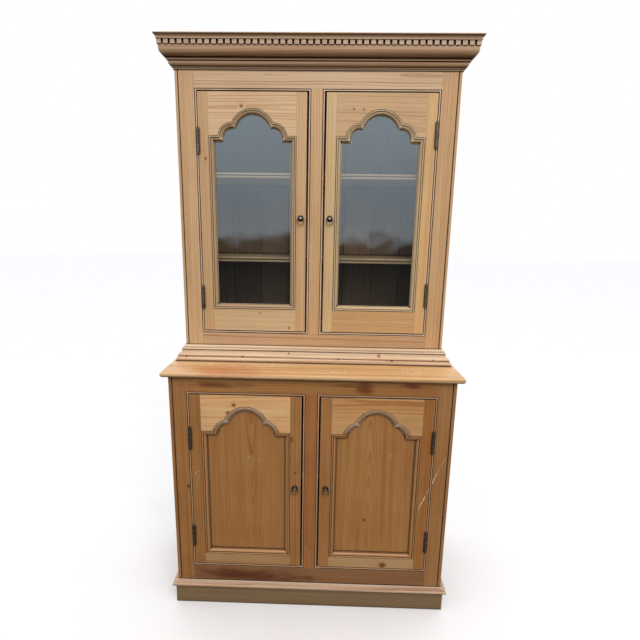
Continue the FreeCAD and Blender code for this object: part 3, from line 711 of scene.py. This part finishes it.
worktopFinish = pine(
    "worktopPineWorn",
    stains=[((-0.33, -0.20, 0.96), (0.17, 0.10, 9))],
    stain=(0.78, 0.50, 0.42),
    flecks=[((0.06, -0.185, 0.96), (0.14, 0.045, 9)), ((0.36, -0.17, 0.96), (0.12, 0.06, 9)),
            ((-0.12, -0.12, 0.96), (0.10, 0.03, 9))],
    strayKnots=0.25, rough=(0.34, 0.52), dents=0.22, edgeShare=0.45, edgeReach=0.006, streak=0.95, pale=0.30,
    fleckColour=(0.92, 0.86, 0.76),
)
plinthFinish = pine(
    "plinthPineScuffed",
    strayKnots=0.20, grime=(0.36, 0.28, 0.22), grimeShare=0.8, grimeReach=0.02, dents=0.3, rough=(0.5, 0.68),
    quirkShare=0.7, edgeReach=0.004, edgeTone=(0.60, 0.48, 0.38), edgeShare=0.60,
)
beadLook = {
    "ringGap": 0.0034, "grime": (0.32, 0.20, 0.13), "grimeReach": 0.011, "grimeShare": 0.90, "dents": 0.04,
    "blotch": 0.16, "rough": (0.30, 0.44), "quirkShare": 0.98, "quirkReach": 0.0075, "edgeReach": 0.0034,
}

# the beads of the lower doors are rubbed pale, with a painted highlight, only round their arches
arches = frontSpots((-0.243, 0.800, 0.185, 0.062), (0.243, 0.800, 0.185, 0.062))
upperBeads = pine("upperBeadsWaxed", **beadLook, glassAt=-0.050, edgeTone=(0.80, 0.62, 0.44), edgeShare=0.60)
lowerBeads = pine("lowerBeadsWaxed", **beadLook, edgeTone=(0.84, 0.71, 0.58), edgeShare=0.80, edgeZone=arches)
# the opening beads' pale crest: wear and a painted highlight
openingBeads = pine("openingBeadsWorn", **beadLook, edgeTone=(0.86, 0.72, 0.60), edgeShare=0.85)
lowerOpening = pine("lowerOpeningWorn", **beadLook, edgeTone=(0.66, 0.49, 0.38), edgeShare=0.70)
print("pine finishes made")

beadEdge = {"edge": 0.0003}
backEdge = {"edge": 0.0016, "close": 0.0005}

# node: its finish, the colour of each board in turn, and what differs from anyBoard
boards = {
    "upper_stiles": (upperFinish, [(0.635, 0.396, 0.208), (0.616, 0.363, 0.176)], {}),
    "upper_rails": (upperFinish, [(0.642, 0.424, 0.255), (0.568, 0.349, 0.188)], {}),
    "upper_muntin": (upperFinish, [(0.648, 0.391, 0.194)], {}),
    "upper_opening_beads": (openingBeads, [(0.667, 0.432, 0.267)], beadEdge),
    "upper_door_left_stiles": (upperFinish, [(0.591, 0.350, 0.170), (0.622, 0.376, 0.185)], {}),
    "upper_door_left_top_rail": (upperFinish, [(0.701, 0.457, 0.254)], {}),
    "upper_door_left_bottom_rail": (upperFinish, [(0.637, 0.420, 0.225)], {}),
    "upper_door_left_moulding": (upperBeads, [(0.466, 0.290, 0.147)], beadEdge),
    "upper_door_right_stiles": (upperFinish, [(0.658, 0.438, 0.219), (0.686, 0.404, 0.174)], {}),
    "upper_door_right_top_rail": (upperFinish, [(0.597, 0.368, 0.189)], {}),
    "upper_door_right_bottom_rail": (upperFinish, [(0.591, 0.339, 0.146)], {}),
    "upper_door_right_moulding": (upperBeads, [(0.563, 0.385, 0.200)], beadEdge),
    "upper_side_left": (sideFinish, [(0.55, 0.36, 0.20)], {}),
    "upper_side_right": (sideFinish, [(0.55, 0.36, 0.20)], {}),
    "upper_shelves": (insideFinish, [(0.66, 0.41, 0.25)], {}),
    "upper_bottom_board": (insideFinish, [(0.38, 0.25, 0.15)], {}),
    "upper_top_board": (insideFinish, [(0.45, 0.32, 0.20)], {}),
    "upper_back_boards": (
        backFinish, [(0.25, 0.145, 0.075), (0.20, 0.115, 0.060), (0.28, 0.16, 0.085)], backEdge),
    # the cornice is coloured darker than its dentils: partly the wood's own tone, partly painted shade on the
    # cornice and painted light on the dentils
    "cornice": (corniceFinish, [(0.475, 0.285, 0.160)], {"edge": 0.0006}),
    "dentils": (corniceFinish, [(0.57, 0.38, 0.255)], {"edge": 0.0006, "grain": 0}),
    "waist_moulding": (waistFinish, [(0.680, 0.478, 0.305)], {"edge": 0.0007}),
    "worktop": (worktopFinish, [(0.655, 0.385, 0.170)], {"edge": 0.0009}),
    "lower_stiles": (lowerFinish, [(0.381, 0.176, 0.056), (0.392, 0.194, 0.070)], {}),
    "lower_rails": (lowerFinish, [(0.395, 0.178, 0.054), (0.262, 0.124, 0.054)], {}),
    "lower_muntin": (lowerFinish, [(0.375, 0.156, 0.050)], {}),
    "lower_opening_beads": (lowerOpening, [(0.525, 0.268, 0.115)], beadEdge),
    "lower_door_left_stiles": (lowerFinish, [(0.373, 0.172, 0.053), (0.397, 0.180, 0.058)], {}),
    "lower_door_left_top_rail": (lowerFinish, [(0.737, 0.437, 0.207)], {}),
    "lower_door_left_bottom_rail": (lowerFinish, [(0.446, 0.257, 0.115)], {}),
    "lower_door_left_panel": (
        panelFinish, [(0.392, 0.181, 0.058)], {"pith": [(0.02, -0.035)], "lean": [-0.035]}),
    "lower_door_left_moulding": (lowerBeads, [(0.458, 0.227, 0.089)], beadEdge),
    "lower_door_right_stiles": (lowerFinish, [(0.398, 0.180, 0.059), (0.379, 0.159, 0.044)], {}),
    "lower_door_right_top_rail": (lowerFinish, [(0.585, 0.325, 0.133)], {}),
    "lower_door_right_bottom_rail": (lowerFinish, [(0.486, 0.285, 0.134)], {}),
    "lower_door_right_panel": (
        panelFinish, [(0.411, 0.192, 0.062)], {"pith": [(-0.02, -0.035)], "lean": [0.040]}),
    "lower_door_right_moulding": (lowerBeads, [(0.444, 0.212, 0.081)], beadEdge),
    "lower_side_left": (sideFinish, [(0.38, 0.20, 0.085)], {}),
    "lower_side_right": (sideFinish, [(0.38, 0.20, 0.085)], {}),
    "lower_bottom_board": (insideFinish, [(0.40, 0.25, 0.13)], {}),
    "lower_shelf": (insideFinish, [(0.40, 0.26, 0.14)], {}),
    "shelf_battens": (insideFinish, [(0.42, 0.28, 0.16)], {}),
    "door_stops": (insideFinish, [(0.36, 0.23, 0.13)], {}),
    "lower_back_boards": (
        backFinish, [(0.26, 0.155, 0.080), (0.21, 0.125, 0.065), (0.29, 0.17, 0.090)], backEdge),
    "plinth_moulding": (plinthFinish, [(0.50, 0.32, 0.20)], {"edge": 0.0006}),
    "plinth_boards": (plinthFinish, [(0.245, 0.152, 0.076)], {"edge": 0.0008}),
}
for node, (finish, colours, shape) in boards.items():
    softBoards(node, finish, colours, **shape)
print("boards softened:", len(boards))


glassLook = {
    "wave": ((7, 1, 5), 2, 0.4),     # stretch, detail, roughness
    "smear": ((9, 1, 3), 4, 0.65),
    "seedScale": 42.0,               # small bubbles
    "seedEdge": (0.03, 0.015),
    "seedHeight": 0.05,
    "bump": 0.5,
    "bumpDepth": 0.004,
    "haze": (0.40, 0.75, 0.01, 0.09),
    "film": (0.4, 0.8, 0.0, 0.006),
    "clearTone": (0.90, 0.94, 0.93, 1),
    "shineTone": (0.88, 0.96, 1.0, 1),
    "dustTone": (0.55, 0.58, 0.60, 1),
    "ior": 1.52,
    "shineShare": 3.8,
}


# clear from behind, mirroring in front, with slow waves and a thin film of dust
def oldGlass(name, look):
    material, tree, shader = newMaterial(name)
    tree.nodes.remove(shader)
    here = addNode(tree, "TexCoord").outputs["Object"]
    cells = addNode(tree, "TexVoronoi", {"Vector": here, "Scale": look["seedScale"]})
    seed = between(tree, cells.outputs["Distance"], *look["seedEdge"])
    height = addScaled(tree, stretchedNoise(tree, here, *look["wave"]), seed, look["seedHeight"])
    feeds = {"Strength": look["bump"], "Distance": look["bumpDepth"], "Height": height}
    bump = addNode(tree, "Bump", feeds).outputs["Normal"]
    smear = stretchedNoise(tree, here, *look["smear"])
    haze = between(tree, smear, *look["haze"])
    clear = addNode(tree, "BsdfTransparent", {"Color": look["clearTone"]}).outputs[0]
    feeds = {"Color": look["shineTone"], "Roughness": haze, "Normal": bump}
    shine = addNode(tree, "BsdfGlossy", feeds).outputs[0]
    bounce = addNode(tree, "Fresnel", {"IOR": look["ior"], "Normal": bump}).outputs[0]
    inside = addNode(tree, "NewGeometry").outputs["Backfacing"]
    share = times(tree, times(tree, bounce, look["shineShare"]), calc(tree, "SUBTRACT", 1.0, inside))
    body = addNode(tree, "MixShader", {0: share, 1: clear, 2: shine}).outputs[0]
    dust = addNode(tree, "BsdfDiffuse", {"Color": look["dustTone"]}).outputs[0]
    film = addNode(tree, "MixShader", {0: between(tree, smear, *look["film"]), 1: body, 2: dust}).outputs[0]
    tree.links.new(film, tree.nodes["Material Output"].inputs["Surface"])
    return material


glass = oldGlass("oldWavyGlass", glassLook)
pane = {"clear": 0.0003, "edge": 0.0002}


# the pane stands a hair behind the face it is bedded on, so the two never share a plane
def addPane(node):
    sheet = bmesh.new()
    sheet.from_mesh(nodes[node].data)
    weld(sheet)
    joinFlats(sheet)
    low, high = extent(sheet.verts)
    for v in sheet.verts:
        if v.co.y - low.y < high.y - v.co.y:
            v.co.y += pane["clear"]
    roundEdges(sheet, pane["edge"], meshRules["sharp"])
    addPiece(node + "_pane", meshFrom(sheet, node + "_pane"), node, glass)


for side in ("left", "right"):
    addPane(f"upper_door_{side}_glass")
print("glass done")


# what every old fitting shares
anyMetal = {
    "cloud": (120, 4, 0.6),      # scale, detail, roughness
    "cloudSpan": (0.35, 0.65),
    "speck": (900, 3, 0.7),
    "speckSpan": (0.25, 0.5, 0.55, 1.0),
    "dark": (0.016, 0.013, 0.010, 1),
    "rimReach": 0.0012,
    "rimSpan": (0.85, 0.5),
    "rimCloud": (0.3, 0.6),
    "rimShare": 0.6,
    "cornerReach": 0.004,
    "cornerSpan": (0.75, 0.3, 0.0, 0.8),
    "cornerTone": (0.018, 0.014, 0.011),
    "metallic": 0.85,
    "dullSpan": (0.3, 0.7),
    "shineRough": -0.18,
    "speckHeight": 0.4,
    "bump": 0.4,
    "bumpDepth": 0.0004,
}


# dark in the corners, bright on the arrises and where a hand rubs it; on a knob that rubbed brightness is
# also a painted highlight
def agedMetal(name, body, bright, brightShare, rough):
    look = anyMetal
    material, tree, shader = newMaterial(name)
    here = addNode(tree, "TexCoord").outputs["Object"]
    cloud = noise(tree, here, *look["cloud"])
    speck = noise(tree, here, *look["speck"])
    rim = occlusion(tree, look["rimReach"], inside=True, only_local=True)
    corner = occlusion(tree, look["cornerReach"])
    colour = mixColour(tree, between(tree, cloud, *look["cloudSpan"]), look["dark"], body)
    edge = times(tree, between(tree, rim, *look["rimSpan"]), between(tree, cloud, *look["rimCloud"]))
    # wear, and on a knob a painted highlight as well
    worn = times(tree, attribute(tree, "rubbed", "Fac"), brightShare)
    shine = calc(tree, "MAXIMUM", times(tree, edge, look["rimShare"]), worn)
    shine = times(tree, shine, between(tree, speck, *look["speckSpan"]))
    colour = mixColour(tree, shine, colour, bright)
    colour = mixColour(tree, between(tree, corner, *look["cornerSpan"]), colour, look["cornerTone"])
    tree.links.new(colour, shader.inputs["Base Color"])
    shader.inputs["Metallic"].default_value = look["metallic"]
    dull = between(tree, cloud, *look["dullSpan"], *rough)
    tree.links.new(addScaled(tree, dull, shine, look["shineRough"]), shader.inputs["Roughness"])
    height = addScaled(tree, cloud, speck, look["speckHeight"])
    feeds = {"Strength": look["bump"], "Distance": look["bumpDepth"], "Height": height}
    tree.links.new(addNode(tree, "Bump", feeds).outputs["Normal"], shader.inputs["Normal"])
    return material


hingeMetal = agedMetal("hingeIronAged", (0.17, 0.15, 0.11), (0.42, 0.37, 0.28), 0.5, (0.42, 0.62))
# the pull's near-white tone is wear, and a painted highlight on the knob
pullMetal = agedMetal("pullBrassDark", (0.055, 0.042, 0.030), (0.72, 0.68, 0.64), 0.95, (0.34, 0.55))
ringMetal = agedMetal("ringBrassWorn", (0.085, 0.055, 0.032), (0.55, 0.38, 0.20), 0.35, (0.30, 0.46))
metalShape = {
    "hingeEdge": 0.0003,
    "sharp": 0.7,
    "smooth": 40,
    "knobRub": (0.0046, 0.0022),     # outer radius of the rubbed middle, which is also a painted highlight, and its fade
    "ringRub": (1.2, 1.4),           # at the bottom of the ring, and how fast it fades upwards
    "hingeRub": 0.25,
}


# the handled parts wear bright: the middle of a knob, also a painted highlight, and the low side of a ring
def rubMetal(node, finish, edge, rubbedAt):
    shaped = bmesh.new()
    shaped.from_mesh(nodes[node].data)
    weld(shaped)
    if edge:
        joinFlats(shaped)
        roundEdges(shaped, edge, metalShape["sharp"])
    low, high = extent(shaped.verts)
    rubbed = [min(1.0, max(0.0, rubbedAt(v.co, low, high))) for v in shaped.verts]
    mesh = meshFrom(shaped, node + "_worn")
    mesh.attributes.new("rubbed", "FLOAT", "POINT").data.foreach_set("value", rubbed)
    mesh.shade_smooth()
    mesh.set_sharp_from_angle(angle=math.radians(metalShape["smooth"]))
    return addPiece(node + "_worn", mesh, node, finish)


# the knob's rubbed middle, painted as a highlight too
def knobWear(spot, low, high):
    middle = (low + high) / 2
    reach, fade = metalShape["knobRub"]
    return (reach - math.hypot(spot.x - middle.x, spot.z - middle.z)) / fade


def ringWear(spot, low, high):
    most, fade = metalShape["ringRub"]
    return most - fade * (spot.z - low.z) / (high.z - low.z)


def hingeWear(spot, low, high):
    return metalShape["hingeRub"]


for floor in ("upper", "lower"):
    for side in ("left", "right"):
        door = f"{floor}_door_{side}"
        rubMetal(door + "_pull", pullMetal, 0, knobWear)
        rubMetal(door + "_ring", ringMetal, 0, ringWear)
        rubMetal(door + "_hinge_leaves", hingeMetal, metalShape["hingeEdge"], hingeWear)
rubMetal("frame_hinge_leaves", hingeMetal, metalShape["hingeEdge"], hingeWear)
print("metal done")


ground = {
    "size": 30,
    "speck": (3, 3),                 # scale and detail
    "speckSpan": (0.3, 0.7),
    "tones": ((0.76, 0.69, 0.66, 1), (0.78, 0.71, 0.68)),
    "rough": 0.9,
    "specular": 0.1,
}


# the floor shows neither in the glass nor in the wood, so that the undersides stay deep
def addFloor(look):
    floor = bmesh.new()
    bmesh.ops.create_grid(floor, x_segments=1, y_segments=1, size=look["size"])
    mesh = meshFrom(floor, "studioFloor")
    material, tree, shader = newMaterial("studioFloorPale")
    speck = noise(tree, addNode(tree, "TexCoord").outputs["Object"], *look["speck"])
    colour = mixColour(tree, between(tree, speck, *look["speckSpan"]), *look["tones"])
    tree.links.new(colour, shader.inputs["Base Color"])
    shader.inputs["Roughness"].default_value = look["rough"]
    shader.inputs["Specular IOR Level"].default_value = look["specular"]
    mesh.materials.append(material)
    piece = bpy.data.objects.new("studioFloor", mesh)
    bpy.context.scene.collection.objects.link(piece)
    piece.visible_glossy = False
    piece.visible_diffuse = False


keyLight = {
    "place": (0.9, -3.6, 4.8),
    "aim": (0, 0, 0.9),
    "size": (2.6, 1.8),
    "power": 110,
    "colour": (1.0, 0.97, 0.92),
}


def addLamp(name, look):
    data = bpy.data.lights.new(name, "AREA")
    data.shape = "RECTANGLE"
    data.size, data.size_y = look["size"]
    data.energy = look["power"]
    data.color = look["colour"]
    lamp = bpy.data.objects.new(name, data)
    bpy.context.scene.collection.objects.link(lamp)
    lamp.location = look["place"]
    lamp.rotation_euler = (Vector(look["aim"]) - Vector(look["place"])).to_track_quat("-Z", "Y").to_euler()


sky = {
    "colour": (0.84, 0.93, 1.0, 1),
    "height": (0.01, 0.26),          # where the sky grows from low to high
    "low": 0.95,
    "high": 1.50,
    "horizon": (-0.03, 0.01),
    "ground": 0.05,
    "seen": (1, 1, 1, 1),
}


# white to look at, but it lights the wood like a soft sky over a dark ground
def addWorld(look):
    world = bpy.data.worlds.new("studio")
    bpy.context.scene.world = world
    world.use_nodes = True
    tree = world.node_tree
    up = axis(tree, addNode(tree, "TexCoord").outputs["Generated"], "Z")
    strength = between(tree, up, *look["height"], look["low"], look["high"])
    strength = times(tree, strength, between(tree, up, *look["horizon"], look["ground"], 1.0))
    lit = addNode(tree, "Background", {"Color": look["colour"], "Strength": strength}).outputs[0]
    seen = addNode(tree, "Background", {"Color": look["seen"], "Strength": 1.0}).outputs[0]
    ray = addNode(tree, "LightPath").outputs["Is Camera Ray"]
    both = addNode(tree, "MixShader", {0: ray, 1: lit, 2: seen}).outputs[0]
    tree.links.new(both, tree.nodes["World Output"].inputs["Surface"])


# turned in degrees
camera = {
    "place": (0.0331, -1.7326, 1.4674),
    "turn": (78.18, -0.853, 1.510),
    "lens": 24.81,
    "shift": (0.0126, 0.0086),
    "nearest": 0.02,
}


def addCamera(look):
    data = bpy.data.cameras.new("camera")
    data.lens = look["lens"]
    data.shift_x, data.shift_y = look["shift"]
    data.clip_start = look["nearest"]
    eye = bpy.data.objects.new("camera", data)
    bpy.context.scene.collection.objects.link(eye)
    eye.location = look["place"]
    eye.rotation_euler = Euler([math.radians(a) for a in look["turn"]])
    bpy.context.scene.camera = eye


addFloor(ground)
addLamp("keyLight", keyLight)
addWorld(sky)
addCamera(camera)
bpy.context.scene.view_settings.view_transform = "Standard"
print("studio set")

bpy.context.view_layer.update()
